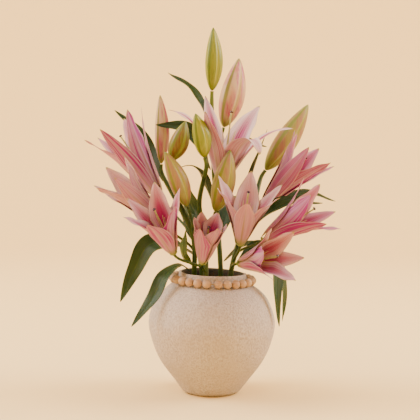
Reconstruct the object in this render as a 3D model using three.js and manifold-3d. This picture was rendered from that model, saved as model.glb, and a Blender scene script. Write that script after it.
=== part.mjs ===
// Pink lilies standing in a round sand-textured vase with a string of wooden beads on its neck.
// Millimetres, +Z up. The origin is the middle of the vase's flat base; -Y is the front.
import * as THREE from 'three';
import { mergeVertices } from 'three/addons/utils/BufferGeometryUtils.js';
import { ParametricGeometry } from 'three/addons/geometries/ParametricGeometry.js';
import Module from 'manifold-3d';

const wasm = await Module();
wasm.setup();

// ---- driving dimensions ----
const vaseHeight = 192;
const bellyRadius = 100;
const neckRadius = 54;
const footRadius = 43;
const vaseWall = 6;
const floorThickness = 8;

const beadCount = 27;
const beadRadius = 6.8;
const beadGap = 0.5; // between the beads and the vase
const frontOpening = 5; // extra angle between the two front beads, degrees
const stringRadius = 1.1;

const stemRadius = 4;
const pedicelRadius = 2.1;
const stemRing = 30; // radius at which the stems stand in the neck
const bouquetRise = 8; // the heights listed for the bouquet are measured from this far above the rim
const fit = 0.35; // gap left where two pieces meet

const tepalThickness = 0.9;
const leafThickness = 0.8;
const outerStart = { radius: 4.4, height: 1.8 }; // where the outer tepals leave the receptacle
const whorlStep = { radius: 2.2, height: 3.5 }; // how much nearer and higher the inner tepals start
const receptacleRadius = 6.4;
const receptacleHeight = 4.2;
const filamentRadius = 0.75;
const styleRadius = 1.3;

const up = new THREE.Vector3(0, 0, 1);
const degree = Math.PI / 180;

// ---- materials ----
const paint = (color, roughness) => new THREE.MeshStandardMaterial({ color, roughness, metalness: 0 });
const coatings = {
  ceramic: paint('#e6ddd1', 0.9),
  wood: paint('#dcb793', 0.6),
  stem: paint('#5f8a34', 0.55),
  leaf: paint('#2f6428', 0.5),
  outerTepal: paint('#e8a9b8', 0.5),
  innerTepal: paint('#f1c6cf', 0.5),
  pistil: paint('#b6b765', 0.5),
  greenBud: paint('#a9b84a', 0.5),
  pinkBud: paint('#dda49a', 0.5),
};

// ---- solids ----
// A closed geometry with shared corners, no collapsed triangles and its faces pointing out.
function sealed(geometry) {
  geometry.deleteAttribute('normal');
  geometry.deleteAttribute('uv');
  const merged = mergeVertices(geometry);
  const corner = merged.index.array;
  const place = merged.attributes.position;
  const [a, b, c] = [new THREE.Vector3(), new THREE.Vector3(), new THREE.Vector3()];
  const kept = [];
  let volume = 0;
  for (let i = 0; i < corner.length; i += 3) {
    const [p, q, r] = [corner[i], corner[i + 1], corner[i + 2]];
    if (p === q || q === r || r === p) continue;
    kept.push([p, q, r]);
    a.fromBufferAttribute(place, p);
    b.fromBufferAttribute(place, q);
    c.fromBufferAttribute(place, r);
    volume += a.dot(b.cross(c));
  }
  const outward = kept.map(([p, q, r]) => (volume < 0 ? [p, r, q] : [p, q, r]));
  merged.setIndex(outward.flat());
  return merged;
}

function toSolid(geometry) {
  const closed = sealed(geometry);
  return new wasm.Manifold(new wasm.Mesh({
    numProp: 3,
    vertProperties: new Float32Array(closed.attributes.position.array),
    triVerts: new Uint32Array(closed.index.array),
  }));
}

// Several closed geometries joined into one body.
function joined(geometries) {
  const mesh = geometries.map(toSolid).reduce((whole, piece) => whole.add(piece)).getMesh();
  const geometry = new THREE.BufferGeometry();
  geometry.setAttribute('position', new THREE.BufferAttribute(new Float32Array(mesh.vertProperties), 3));
  geometry.setIndex(new THREE.BufferAttribute(new Uint32Array(mesh.triVerts), 1));
  return geometry;
}

function named(name, geometry, coating) {
  const mesh = new THREE.Mesh(geometry, coating);
  mesh.name = name;
  geometry.computeVertexNormals();
  return mesh;
}

// A round rod of the given number of sides along a curve.
function rod(curve, radius, steps, sides) {
  const outline = new THREE.Shape();
  for (let i = 0; i < sides; i += 1) {
    const angle = (2 * Math.PI * i) / sides;
    const [x, y] = [radius * Math.cos(angle), radius * Math.sin(angle)];
    if (i === 0) outline.moveTo(x, y);
    else outline.lineTo(x, y);
  }
  outline.closePath();
  return new THREE.ExtrudeGeometry(outline, { steps, extrudePath: curve, bevelEnabled: false });
}

// A thin leaf-like solid. sectionAt(s) gives its middle, side and inward directions, half width,
// bend radius and thickness; each section is a lens bent to an arc, and it closes at both ends.
function blade(sectionAt, across, along) {
  const geometry = new ParametricGeometry((u, s, target) => {
    const { middle, side, inward, halfWidth, bend, thickness } = sectionAt(s);
    const onTop = u < 0.5;
    const lateral = onTop ? 4 * u - 1 : 3 - 4 * u;
    const angle = (lateral * halfWidth) / bend;
    const lift = (onTop ? 0.5 : -0.5) * thickness * (1 - lateral * lateral);
    const reach = bend - lift;
    target.copy(middle);
    target.addScaledVector(side, reach * Math.sin(angle));
    target.addScaledVector(inward, bend - reach * Math.cos(angle));
  }, 2 * across, along);
  // the underside's quads are split along the same diagonals as the top's, so that the two sides
  // of a twisted blade never cross
  const corner = geometry.index.array;
  for (let quad = 0; quad < 2 * across * along; quad += 1) {
    if (quad % (2 * across) < across) continue;
    const [a, b, d, , c] = corner.slice(6 * quad, 6 * quad + 5);
    corner.set([a, b, c, a, c, d], 6 * quad);
  }
  return geometry;
}

// ---- vase ----
// A share along the lower wall runs from foot to belly, along the shoulder from neck to belly.
const lowerWall = (share) => footRadius + share * (bellyRadius - footRadius);
const shoulder = (share) => neckRadius + share * (bellyRadius - neckRadius);
const vaseOutline = new THREE.SplineCurve([
  [lowerWall(0), 0], [lowerWall(0.26), 0.1 * vaseHeight], [lowerWall(0.67), 0.27 * vaseHeight],
  [lowerWall(0.91), 0.44 * vaseHeight], [bellyRadius, 0.6 * vaseHeight],
  [shoulder(0.76), 0.77 * vaseHeight], [shoulder(0.34), 0.88 * vaseHeight],
  [shoulder(0.04), 0.92 * vaseHeight], [neckRadius, 0.96 * vaseHeight],
  [neckRadius - 0.8, vaseHeight - 2.5],
].map(([r, z]) => new THREE.Vector2(r, z)));

// How far a point beside the vase lies from its outline.
function clearanceAt(radius, height) {
  const point = new THREE.Vector2(radius, height);
  return Math.min(...vaseOutline.getSpacedPoints(160).map((p) => p.distanceTo(point)));
}

function vase() {
  const outline = [];
  const hollow = [];
  const stations = 18; // two to each span of the outline, so they crowd where it turns at the neck
  for (let i = 0; i <= stations; i += 1) {
    const point = vaseOutline.getPoint(i / stations);
    const tangent = vaseOutline.getTangent(i / stations);
    const inner = new THREE.Vector2(point.x - vaseWall * tangent.y, point.y + vaseWall * tangent.x);
    outline.push(point);
    if (inner.y > floorThickness + 2) hollow.unshift(inner);
  }
  const lip = vaseOutline.getPoint(1);
  const rim = [
    new THREE.Vector2(lip.x - 1.2, vaseHeight - 0.5), new THREE.Vector2(lip.x - vaseWall / 2, vaseHeight),
    new THREE.Vector2(lip.x - vaseWall + 1.2, vaseHeight - 0.5),
  ];
  const floor = [new THREE.Vector2(footRadius - vaseWall, floorThickness), new THREE.Vector2(0, floorThickness)];
  const profile = [new THREE.Vector2(0, 0), ...outline, ...rim, ...hollow, ...floor];
  const turned = new THREE.LatheGeometry(profile, 28);
  turned.rotateX(Math.PI / 2);
  return named('vase', sealed(turned), coatings.ceramic);
}

// ---- bead string ----
// The ring slides down the neck until its beads rest on the shoulder.
function beadString() {
  const ringRadius = neckRadius + beadRadius + 2;
  const reach = beadRadius + beadGap;
  let ringHeight = vaseHeight - beadRadius;
  while (clearanceAt(ringRadius, ringHeight - 0.2) > reach && ringHeight > 0.9 * vaseHeight) ringHeight -= 0.2;
  const pitch = (360 - frontOpening) / beadCount;
  const beads = [];
  for (let i = 0; i < beadCount; i += 1) {
    const angle = (-90 + frontOpening / 2 + (i + 0.5) * pitch) * degree;
    const bead = new THREE.SphereGeometry(beadRadius, 7, 4);
    bead.rotateX(Math.PI / 2);
    bead.translate(ringRadius * Math.cos(angle), ringRadius * Math.sin(angle), 0);
    beads.push(bead);
  }
  const cord = new THREE.TorusGeometry(ringRadius, stringRadius, 3, beadCount);
  const string = named('bead_string', joined([cord, ...beads]), coatings.wood);
  string.position.z = ringHeight;
  return string;
}

// ---- lilies ----
// Each flower: where it sits on its stalk and the point it looks at (x, y, height above the rim),
// tepal length and width, lean of the cup, flare of the tips, turn, and a sway for single tepals.
const lilies = {
  upper_left_lily: {
    base: [-84, 28, 106], aim: [-152, 38, 208], length: 148, width: 15, lean: 11, flare: 20, turn: 10, sway: {},
  },
  left_lily: {
    base: [-77, -20, 66], aim: [-154, -48, 146], length: 124, width: 15, lean: 8, flare: 16, turn: 40, sway: {},
  },
  front_left_lily: {
    base: [-60, -54, 27], aim: [-90, -104, 102], length: 112, width: 17, lean: 14, flare: 24, turn: 20, sway: {},
  },
  front_lily: {
    base: [-16, -44, 11], aim: [-4, -88, 90], length: 82, width: 20, lean: 16, flare: -6, turn: 0, sway: {},
  },
  middle_lily: {
    base: [42, -46, 40], aim: [55, -84, 142], length: 112, width: 17, lean: 17, flare: 30, turn: 27, sway: {},
  },
  top_lily: {
    base: [12, 14, 128], aim: [26, -6, 240], length: 150, width: 17, lean: 22, flare: 46, turn: 0,
    sway: { 0: 25, 120: -25, 180: 25, 240: -35, 300: 100 },
  },
  upper_right_lily: {
    base: [78, 14, 96], aim: [158, 4, 190], length: 128, width: 15, lean: 11, flare: 18, turn: 15, sway: {},
  },
  right_lily: {
    base: [76, -36, 46], aim: [158, -64, 102], length: 122, width: 15, lean: 11, flare: 28, turn: 50, sway: {},
  },
  lower_right_lily: {
    base: [40, -48, 12], aim: [98, -112, 32], length: 106, width: 16, lean: 12, flare: 26, turn: 33, sway: {},
  },
};

// ---- buds: base and tip (x, y, height above the rim), widest radius, and colour ----
const buds = {
  top_bud: { base: [-4, 66, 277], tip: [-3, 68, 379], radius: 15.5, coating: coatings.greenBud },
  striped_bud: { base: [16, 92, 218], tip: [40, 104, 331], radius: 22, coating: coatings.pinkBud },
  slim_bud: { base: [-14, -54, 175], tip: [-29, -66, 243], radius: 15, coating: coatings.greenBud },
  left_bud: { base: [-67, -25, 168], tip: [-44, -30, 230], radius: 16, coating: coatings.greenBud },
  low_left_bud: { base: [-40, -45, 99], tip: [-75, -60, 184], radius: 16.5, coating: coatings.greenBud },
  middle_bud: { base: [3, -28, 90], tip: [25, -36, 187], radius: 19, coating: coatings.pinkBud },
  right_bud: { base: [84, 66, 150], tip: [153, 84, 257], radius: 20, coating: coatings.greenBud },
  back_left_bud: { base: [-85, 72, 158], tip: [-88, 78, 270], radius: 13, coating: coatings.pinkBud },
};

// ---- stems: angle in the neck, points above the rim, the head at the top and the side stalks,
// each with the height above the rim at which it leaves the stem ----
const stems = {
  left_stem: {
    angle: 196, points: [[-31, -20, 50], [-52, -24, 100]], top: 'left_bud',
    stalks: { low_left_bud: 42, left_lily: 20, upper_left_lily: 36 },
  },
  back_left_stem: {
    angle: 124, points: [[-34, 42, 60], [-66, 64, 110]], top: 'back_left_bud', stalks: {},
  },
  front_stem: {
    angle: 250, points: [[-12, -14, 40], [-22, -10, 100]], top: 'slim_bud',
    stalks: { middle_bud: 46, front_lily: -10, front_left_lily: -8 },
  },
  back_stem: {
    angle: 64, points: [[8, 40, 60], [2, 52, 130], [-2, 62, 200]], top: 'top_bud',
    stalks: { top_lily: 62, striped_bud: 110 },
  },
  right_stem: {
    angle: 340, points: [[42, 2, 44], [64, 34, 92]], top: 'right_bud',
    stalks: { lower_right_lily: -8, middle_lily: 4, right_lily: 14, upper_right_lily: 44 },
  },
};

// ---- leaves: the stem each grows on, the height it leaves it, the points it passes to its tip,
// half width, and the twist that turns its face, degrees ----
const leaves = {
  top_thin_leaf: {
    stem: 'back_stem', from: 225, points: [[-32, 78, 277], [-76, 76, 306]], width: 7, twist: -30,
  },
  high_left_leaf: {
    stem: 'back_left_stem', from: 130, points: [[-118, 92, 203], [-163, 98, 244]], width: 11, twist: -40,
  },
  hidden_left_leaf: {
    stem: 'back_stem', from: 150, points: [[-40, 62, 215], [-94, 56, 222]], width: 12, twist: -80,
  },
  broad_left_leaf: {
    stem: 'back_left_stem', from: 14, points: [[-62, 14, 34], [-100, 4, 34], [-123, -4, -4], [-145, -10, -56]],
    width: 17, twist: -70,
  },
  low_left_leaf: {
    stem: 'left_stem', from: -6, points: [[-50, -20, 5], [-75, -37, -11], [-92, -50, -42], [-124, -68, -85]],
    width: 12, twist: -45,
  },
  low_right_leaf: {
    stem: 'right_stem', from: 8, points: [[72, 8, 34], [100, 0, 16], [101, -24, -36], [105, -36, -88]],
    width: 13, twist: 75,
  },
  back_right_leaf: {
    stem: 'back_stem', from: 5, points: [[56, 40, 32], [98, 34, 14], [115, 22, -36], [112, 10, -88]],
    width: 13, twist: 45,
  },
  right_leaf: {
    stem: 'right_stem', from: 70, points: [[112, 34, 104], [152, 34, 116], [195, 26, 104]], width: 11, twist: 35,
  },
  short_right_leaf: {
    stem: 'right_stem', from: 56, points: [[110, 60, 96], [178, 62, 98]], width: 11, twist: 30,
  },
  pale_leaf: { stem: 'front_stem', from: 76, points: [[-38, 6, 106], [-46, 10, 138]], width: 12, twist: -75 },
  dark_middle_leaf: {
    stem: 'right_stem', from: 30, points: [[44, -16, 90], [62, 0, 156], [84, 18, 218]], width: 14, twist: 75,
  },
  dark_right_leaf: {
    stem: 'right_stem', from: 56, points: [[76, -7, 86], [104, -18, 106], [138, -24, 114]], width: 11, twist: 70,
  },
  arching_leaf: {
    stem: 'back_stem', from: 96, points: [[-18, 24, 146], [-36, 8, 160], [-56, 2, 156]], width: 9, twist: 0,
  },
  rim_leaf: { stem: 'left_stem', from: 4, points: [[-46, -28, 24], [-42, -34, 62]], width: 9, twist: 0 },
  high_right_leaf: { stem: 'back_stem', from: 170, points: [[46, 74, 196], [86, 70, 188]], width: 12, twist: 30 },
  back_leaf: { stem: 'back_stem', from: 44, points: [[30, 84, 96], [50, 128, 104]], width: 14, twist: 0 },
  back_left_leaf: {
    stem: 'back_left_stem', from: 34, points: [[-48, 84, 84], [-72, 128, 82]], width: 14, twist: 0,
  },
};

const aboveRim = ([x, y, z]) => new THREE.Vector3(x, y, vaseHeight + bouquetRise + z);

// The lily tepal's spine, in the flower's own frame: it leaves the receptacle at a wide angle,
// follows the cup's lean and flares towards the tip. Returned as evenly spaced stations.
function tepalSpine(lily, start, extraFlare) {
  const wideAngle = 38;
  const stations = [];
  const steps = 60;
  let [radius, height] = [start.radius, start.height];
  for (let i = 0; i <= steps; i += 1) {
    const s = i / steps;
    const opening = lily.lean + (wideAngle - lily.lean) * Math.exp(-s / 0.08);
    const late = Math.max(0, (s - 0.4) / 0.6);
    const angle = (opening + lily.flare * s * s + extraFlare * late * late) * degree;
    stations.push({ radius, height, angle });
    radius += (lily.length / steps) * Math.sin(angle);
    height += (lily.length / steps) * Math.cos(angle);
  }
  return stations;
}

// One tepal: an arc across, concentric with the flower's axis low down and flatter towards the tip.
function tepal(lily, start, width, extraFlare, azimuth) {
  const stations = tepalSpine(lily, start, extraFlare);
  const flattest = 40;
  const widestHalfAngle = 0.92;
  return blade((s) => {
    const { radius, height, angle } = stations[Math.round(s * (stations.length - 1))];
    const bend = Math.min(radius / Math.max(Math.cos(angle), 0.3), flattest);
    const lance = width * Math.sin(Math.PI * s ** 0.85) ** 0.8;
    const halfWidth = Math.min(lance, widestHalfAngle * bend);
    const outward = new THREE.Vector3(Math.cos(azimuth), Math.sin(azimuth), 0);
    return {
      middle: outward.clone().multiplyScalar(radius).setZ(height),
      side: new THREE.Vector3(-Math.sin(azimuth), Math.cos(azimuth), 0),
      inward: outward.clone().multiplyScalar(-Math.cos(angle)).setZ(Math.sin(angle)),
      halfWidth,
      bend,
      thickness: tepalThickness * Math.min(1, halfWidth / 3),
    };
  }, 3, 6);
}

function receptacle(radius, bottom, height, around = 7, rings = 4) {
  const knob = new THREE.SphereGeometry(radius, around, rings);
  knob.rotateX(Math.PI / 2);
  knob.scale(1, 1, height / 2 / radius);
  knob.translate(0, 0, bottom + height / 2);
  return knob;
}

function whorl(lily, start, width, firstTurn, base) {
  const pieces = [base];
  for (let k = 0; k < 3; k += 1) {
    const azimuth = (firstTurn + 120 * k) * degree;
    pieces.push(tepal(lily, start, width, lily.sway[firstTurn + 120 * k] || 0, azimuth));
  }
  return joined(pieces);
}

// Ovary, six bare filaments, and the style with its stigma.
function pistilAndStamens(lily, bottom) {
  const ovaryLength = 12;
  const line = (radius, reach, startRadius) => new THREE.QuadraticBezierCurve3(
    new THREE.Vector3(startRadius, 0, bottom + 2.5),
    new THREE.Vector3(startRadius + 1.5, 0, bottom + reach / 2),
    new THREE.Vector3(radius, 0, bottom + reach),
  );
  const styleLength = 0.74 * lily.length;
  const pieces = [receptacle(2.6, bottom, ovaryLength, 6, 4)];
  const style = new THREE.LineCurve3(new THREE.Vector3(0, 0, bottom + 6), new THREE.Vector3(0, 0, bottom + styleLength));
  pieces.push(rod(style, styleRadius, 1, 5));
  const stigma = new THREE.SphereGeometry(3, 6, 3);
  stigma.rotateX(Math.PI / 2);
  stigma.scale(1, 1, 0.6);
  stigma.translate(0, 0, bottom + styleLength);
  pieces.push(stigma);
  for (let k = 0; k < 6; k += 1) {
    const filament = rod(line(8 + 0.1 * lily.flare, 0.58 * lily.length, 1.2), filamentRadius, 2, 3);
    filament.rotateZ((60 * k + 30) * degree);
    pieces.push(filament);
  }
  return joined(pieces);
}

function lilyGroup(name, lily) {
  const group = new THREE.Group();
  const axis = aboveRim(lily.aim).sub(aboveRim(lily.base)).normalize();
  group.position.copy(aboveRim(lily.base));
  group.quaternion.setFromUnitVectors(up, axis);
  group.rotateZ(lily.turn * degree);
  const innerStart = {
    radius: outerStart.radius - whorlStep.radius,
    height: outerStart.height + whorlStep.height,
  };
  const innerBase = receptacleHeight + fit;
  const innerHeight = 3.7;
  group.add(named(`${name}_outer_tepals`,
    whorl(lily, outerStart, lily.width, 0, receptacle(receptacleRadius, 0, receptacleHeight)),
    coatings.outerTepal));
  group.add(named(`${name}_inner_tepals`,
    whorl(lily, innerStart, 1.28 * lily.width, 60, receptacle(4.2, innerBase, innerHeight)),
    coatings.innerTepal));
  group.add(named(`${name}_pistil_and_stamens`,
    pistilAndStamens(lily, innerBase + innerHeight + fit), coatings.pistil));
  return group;
}

// A closed bud: a spindle with three soft lobes.
function budMesh(name, bud) {
  const [base, tip] = [aboveRim(bud.base), aboveRim(bud.tip)];
  const length = base.distanceTo(tip);
  const lobes = 0.07;
  const geometry = new ParametricGeometry((u, s, target) => {
    const turn = 2 * Math.PI * u;
    const radius = bud.radius * (1 + lobes * (Math.cos(3 * turn) - 1)) * Math.sin(Math.PI * s ** 0.85) ** 0.75;
    target.set(radius * Math.cos(turn), radius * Math.sin(turn), length * s);
  }, 9, 7);
  const mesh = named(name, sealed(geometry), bud.coating);
  mesh.position.copy(base);
  mesh.quaternion.setFromUnitVectors(up, tip.clone().sub(base).normalize());
  return mesh;
}

// ---- stems ----
// Where a head sits and which way it points.
function headOf(name) {
  const { base, aim, tip } = lilies[name] || buds[name];
  return { seat: aboveRim(base), axis: aboveRim(aim || tip).sub(aboveRim(base)).normalize() };
}

function stemCurve(stem) {
  const angle = stem.angle * degree;
  const inNeck = (radius, z) => new THREE.Vector3(radius * Math.cos(angle), radius * Math.sin(angle), z);
  const { seat, axis } = headOf(stem.top);
  const footClearance = 2;
  return new THREE.CatmullRomCurve3([
    inNeck(0.8 * stemRing, floorThickness + footClearance),
    inNeck(stemRing, 0.6 * vaseHeight),
    inNeck(stemRing, vaseHeight - 5),
    ...stem.points.map(aboveRim),
    seat.clone().addScaledVector(axis, -12),
    seat.clone().addScaledVector(axis, -fit),
  ], false, 'centripetal');
}

// The point and direction of a stem at a height above the rim, found by halving.
function stemAt(curve, height) {
  let [low, high] = [0, 1];
  for (let i = 0; i < 24; i += 1) {
    const middle = (low + high) / 2;
    if (curve.getPoint(middle).z < vaseHeight + bouquetRise + height) low = middle;
    else high = middle;
  }
  return { point: curve.getPoint(low), direction: curve.getTangent(low) };
}

// A side stalk leaves along the stem and arrives along the head's axis.
function stalkCurve(from, { seat, axis }) {
  const reach = from.point.distanceTo(seat);
  return new THREE.CubicBezierCurve3(
    from.point,
    from.point.clone().addScaledVector(from.direction, 0.3 * reach),
    seat.clone().addScaledVector(axis, -0.35 * reach),
    seat.clone().addScaledVector(axis, -fit),
  );
}

function stemMesh(name, stem) {
  const curve = stemCurve(stem);
  const pieces = [rod(curve, stemRadius, 12, 7)];
  for (const [head, height] of Object.entries(stem.stalks)) {
    pieces.push(rod(stalkCurve(stemAt(curve, height), headOf(head)), pedicelRadius, 5, 6));
  }
  return named(name, joined(pieces), coatings.stem);
}

// ---- leaves ----
// A leaf springs from just off its stem and follows its points; it is slightly folded along the rib.
function leafMesh(name, leaf) {
  const start = stemAt(stemCurve(stems[leaf.stem]), leaf.from).point;
  const path = leaf.points.map(aboveRim);
  const away = path[0].clone().sub(start).setZ(0).normalize();
  const spring = start.clone().addScaledVector(away, stemRadius + 2 * fit + 1);
  const spine = new THREE.CatmullRomCurve3([spring, ...path], false, 'centripetal');
  const rollover = 34;
  const level = new THREE.Vector3().crossVectors(up, away).normalize();
  const geometry = blade((s) => {
    const along = spine.getTangentAt(s);
    const turned = leaf.twist * degree * THREE.MathUtils.smoothstep(s, 0, 0.6);
    const side = level.clone().addScaledVector(along, -level.dot(along)).normalize();
    side.applyAxisAngle(along, turned);
    const halfWidth = leaf.width * Math.sin(Math.PI * s ** 0.75) ** 0.8;
    return {
      middle: spine.getPointAt(s),
      side,
      inward: new THREE.Vector3().crossVectors(along, side).normalize(),
      halfWidth,
      bend: rollover,
      thickness: leafThickness * Math.min(1, halfWidth / 2),
    };
  }, 2, 9);
  return named(name, sealed(geometry), coatings.leaf);
}

// ---- assembly ----
const group = new THREE.Group();
group.add(vase(), beadString());
for (const [name, stem] of Object.entries(stems)) group.add(stemMesh(name, stem));
for (const [name, lily] of Object.entries(lilies)) group.add(lilyGroup(name, lily));
for (const [name, bud] of Object.entries(buds)) group.add(budMesh(name, bud));
for (const [name, leaf] of Object.entries(leaves)) group.add(leafMesh(name, leaf));

export default group;
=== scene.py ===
import math

import bpy
import numpy as np
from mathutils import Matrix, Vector


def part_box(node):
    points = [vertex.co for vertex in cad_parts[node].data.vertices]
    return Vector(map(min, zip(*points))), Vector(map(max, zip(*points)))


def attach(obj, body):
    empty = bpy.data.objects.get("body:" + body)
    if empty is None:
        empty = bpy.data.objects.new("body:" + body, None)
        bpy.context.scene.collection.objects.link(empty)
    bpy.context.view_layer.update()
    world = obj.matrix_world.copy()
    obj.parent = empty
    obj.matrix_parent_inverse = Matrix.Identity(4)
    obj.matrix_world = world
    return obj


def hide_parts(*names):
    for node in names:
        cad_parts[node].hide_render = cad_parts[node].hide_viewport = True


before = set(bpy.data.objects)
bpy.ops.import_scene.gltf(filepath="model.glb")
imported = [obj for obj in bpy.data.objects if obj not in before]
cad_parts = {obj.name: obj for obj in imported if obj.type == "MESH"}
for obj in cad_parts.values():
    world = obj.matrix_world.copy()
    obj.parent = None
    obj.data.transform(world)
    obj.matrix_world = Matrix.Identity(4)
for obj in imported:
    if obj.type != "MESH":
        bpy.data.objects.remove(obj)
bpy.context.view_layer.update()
print("frame loaded:", len(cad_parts), "nodes")

mm = 0.001
degree = math.pi / 180
rng = np.random.default_rng(7)
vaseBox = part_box("vase")
rimHeight = vaseBox[1][2]
bouquetRise = 8 * mm
upAxis = np.array([0.0, 0.0, 1.0])


def unit(v):
    # a vector, or each row of an array, divided by its length
    v = np.asarray(v, float)
    return v / np.linalg.norm(v, axis=-1, keepdims=True)


def smooth(x, low, high):
    # 0 below low, 1 above high, and 3t^2 - 2t^3 between them
    t = np.clip((x - low) / (high - low), 0, 1)
    return t * t * (3 - 2 * t)


def aboveRim(point):
    # a listed (x, y, height) in millimetres as a place in metres over the vase's rim
    x, y, z = point
    return np.array([x * mm, y * mm, rimHeight + bouquetRise + z * mm])


def turnTo(axis, turn):
    # the shortest turn that takes +Z to axis, after a turn about +Z: I + K + K^2 / (1 + cos)
    axis = unit(axis)
    v = np.cross(upAxis, axis)
    k = np.array([[0, -v[2], v[1]], [v[2], 0, -v[0]], [-v[1], v[0], 0]])
    lean = np.eye(3) + k + k @ k / (1 + axis[2])
    c, s = math.cos(turn), math.sin(turn)
    return lean @ np.array([[c, -s, 0], [s, c, 0], [0, 0, 1]])


def cubicAt(p0, p1, p2, p3, t):
    # Bezier: (1-t)^3 p0 + 3(1-t)^2 t p1 + 3(1-t) t^2 p2 + t^3 p3
    t = np.asarray(t)[:, None]
    return (1 - t) ** 3 * p0 + 3 * (1 - t) ** 2 * t * p1 + 3 * (1 - t) * t**2 * p2 + t**3 * p3


def hermite(start, end, leaving, arriving, t):
    # p0 + m0 t + (3(p1 - p0) - 2 m0 - m1) t^2 + (2(p0 - p1) + m0 + m1) t^3
    square = 3 * (end - start) - 2 * leaving - arriving
    cube = 2 * (start - end) + leaving + arriving
    return start + leaving * t + square * t**2 + cube * t**3


def spanOf(spans, steps):
    # which span each of the evenly spaced steps lies in, and how far along that span it is
    t = np.linspace(0, 1, steps + 1) * spans
    i = np.minimum(t.astype(int), spans - 1)
    return i, (t - i)[:, None]


def throughPoints(points, steps):
    # Catmull-Rom with centripetal spacing: each span is a Hermite cubic whose end tangents come
    # from the neighbours, weighted by the fourth root of the squared distances between the points
    p = np.array(points)
    p = np.vstack([2 * p[0] - p[1], p, 2 * p[-1] - p[-2]])
    i, w = spanOf(len(p) - 3, steps)
    a, b, c, d = p[i], p[i + 1], p[i + 2], p[i + 3]
    gap = np.sum(np.diff(p, axis=0) ** 2, axis=1) ** 0.25
    d0, d1, d2 = gap[i][:, None], gap[i + 1][:, None], gap[i + 2][:, None]
    m1 = ((b - a) / d0 - (c - a) / (d0 + d1) + (c - b) / d1) * d1
    m2 = ((c - b) / d1 - (d - b) / (d1 + d2) + (d - c) / d2) * d1
    return hermite(b, c, m1, m2, w)


def evenly(line, steps):
    # the same line with its points spaced evenly along it
    run = np.concatenate([[0], np.cumsum(np.linalg.norm(np.diff(line, axis=0), axis=1))])
    want = np.linspace(0, run[-1], steps + 1)
    return np.stack([np.interp(want, run, line[:, k]) for k in range(3)], axis=1)


def ringQuads(rows, cols, closed=False):
    # the quads between neighbouring rings of a (rows, cols) grid, whose rings are closed; closed joins
    # the last ring to the first as well
    r, c = np.meshgrid(np.arange(rows if closed else rows - 1), np.arange(cols), indexing="ij")
    up, on = (r + 1) % rows, (c + 1) % cols
    return np.stack([r * cols + c, r * cols + on, up * cols + on, up * cols + c], -1).reshape(-1, 4)


def signedVolume(verts, quads):
    # six times the volume inside the quads, negative if they are inside out: the sum of
    # a . (b x c) + a . (c x d) over the quads, measured from the middle of the points
    a, b, c, d = (verts[quads[:, k]] - verts.mean(0) for k in range(4))
    return np.einsum("ij,ij->", a, np.cross(b, c) + np.cross(c, d))


def linked(name, mesh):
    obj = bpy.data.objects.new(name, mesh)
    bpy.context.scene.collection.objects.link(obj)
    return obj


def ringMesh(name, rings, across=None, side=None, tone=0.5):
    # rings is (rows, columns, 3): each row is a closed ring, neighbours are joined by quads, and the
    # first and last rings are capped; across and side are kept for the material
    rows, cols = rings.shape[:2]
    quads = ringQuads(rows, cols)
    verts = rings.reshape(-1, 3)
    loops = np.concatenate([quads.ravel(), np.arange(cols)[::-1], (rows - 1) * cols + np.arange(cols)])
    starts = np.concatenate([np.arange(len(quads)) * 4, [len(quads) * 4, len(quads) * 4 + cols]])
    mesh = bpy.data.meshes.new(name)
    mesh.vertices.add(len(verts))
    mesh.vertices.foreach_set("co", verts.ravel())
    mesh.loops.add(len(loops))
    mesh.loops.foreach_set("vertex_index", loops.astype(np.int32))
    mesh.polygons.add(len(starts))
    mesh.polygons.foreach_set("loop_start", starts.astype(np.int32))
    mesh.update(calc_edges=True)
    if signedVolume(verts, quads) < 0:
        mesh.flip_normals()
    mesh.shade_smooth()
    along = np.repeat(np.linspace(0, 1, rows), cols)
    across = np.linspace(0, 1, cols, endpoint=False) if across is None else across
    uv = np.stack([np.broadcast_to(across, (rows, cols)).ravel(), along], 1)
    order = np.empty(len(mesh.loops), np.int32)
    mesh.loops.foreach_get("vertex_index", order)
    mesh.uv_layers.new(name="shape").data.foreach_set("uv", uv[order].ravel())
    if side is not None:
        layer = mesh.attributes.new("inner", "FLOAT", "POINT")
        layer.data.foreach_set("value", np.tile(side, rows).astype(np.float32))
    setTone(mesh, tone)
    mesh.validate()
    return linked(name, mesh)


def setTone(mesh, tone):
    # one number for the whole piece, which its material reads so that no two pieces look alike
    layer = mesh.attributes.new("tone", "FLOAT", "POINT")
    layer.data.foreach_set("value", np.full(len(mesh.vertices), tone, np.float32))


def settle(obj, material, slot, *nodes):
    # gives a piece its material and its body, and hides the CAD node it stands for; slot is not used
    obj.data.materials.append(material)
    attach(obj, "root")
    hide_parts(*nodes)


def lensRings(middle, side, inward, halfWidth, bend, thickness, columns, lift):
    # a thin blade: at each station the section is an arc of radius bend, halfWidth to each side, and
    # a lens thick; lift(q) raises the surface towards the inside. The rings go over the top and back
    half = columns // 2
    top = np.linspace(-1, 1, half, endpoint=False)
    q = np.concatenate([top, -top])
    over = np.concatenate([np.ones(half), -np.ones(half)])
    body = 0.5 * over * (1 - q**2) ** 0.6
    w, b, t = halfWidth[:, None], bend[:, None], thickness[:, None]
    raised = body * t + lift(q)
    angle = q * w / b
    reach = b - raised
    points = middle[:, None] + side[:, None] * (reach * np.sin(angle))[..., None]
    points = points + inward[:, None] * (b - reach * np.cos(angle))[..., None]
    return points, (q + 1) / 2, (over + 1) / 2


def around(first, second, radius, angle):
    # first * r cos(a) + second * r sin(a)
    return first * (radius * np.cos(angle))[..., None] + second * (radius * np.sin(angle))[..., None]


def upright(radius, height, angle):
    # rings about the upright axis: (r cos a, r sin a, height)
    radius = np.broadcast_to(radius, np.broadcast_shapes(np.shape(radius), np.shape(angle)))
    tall = np.broadcast_to(height, radius.shape)
    return np.stack([radius * np.cos(angle), radius * np.sin(angle), tall], -1)


def fullTurn(columns):
    return np.linspace(0, 2 * math.pi, columns, endpoint=False)


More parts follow.
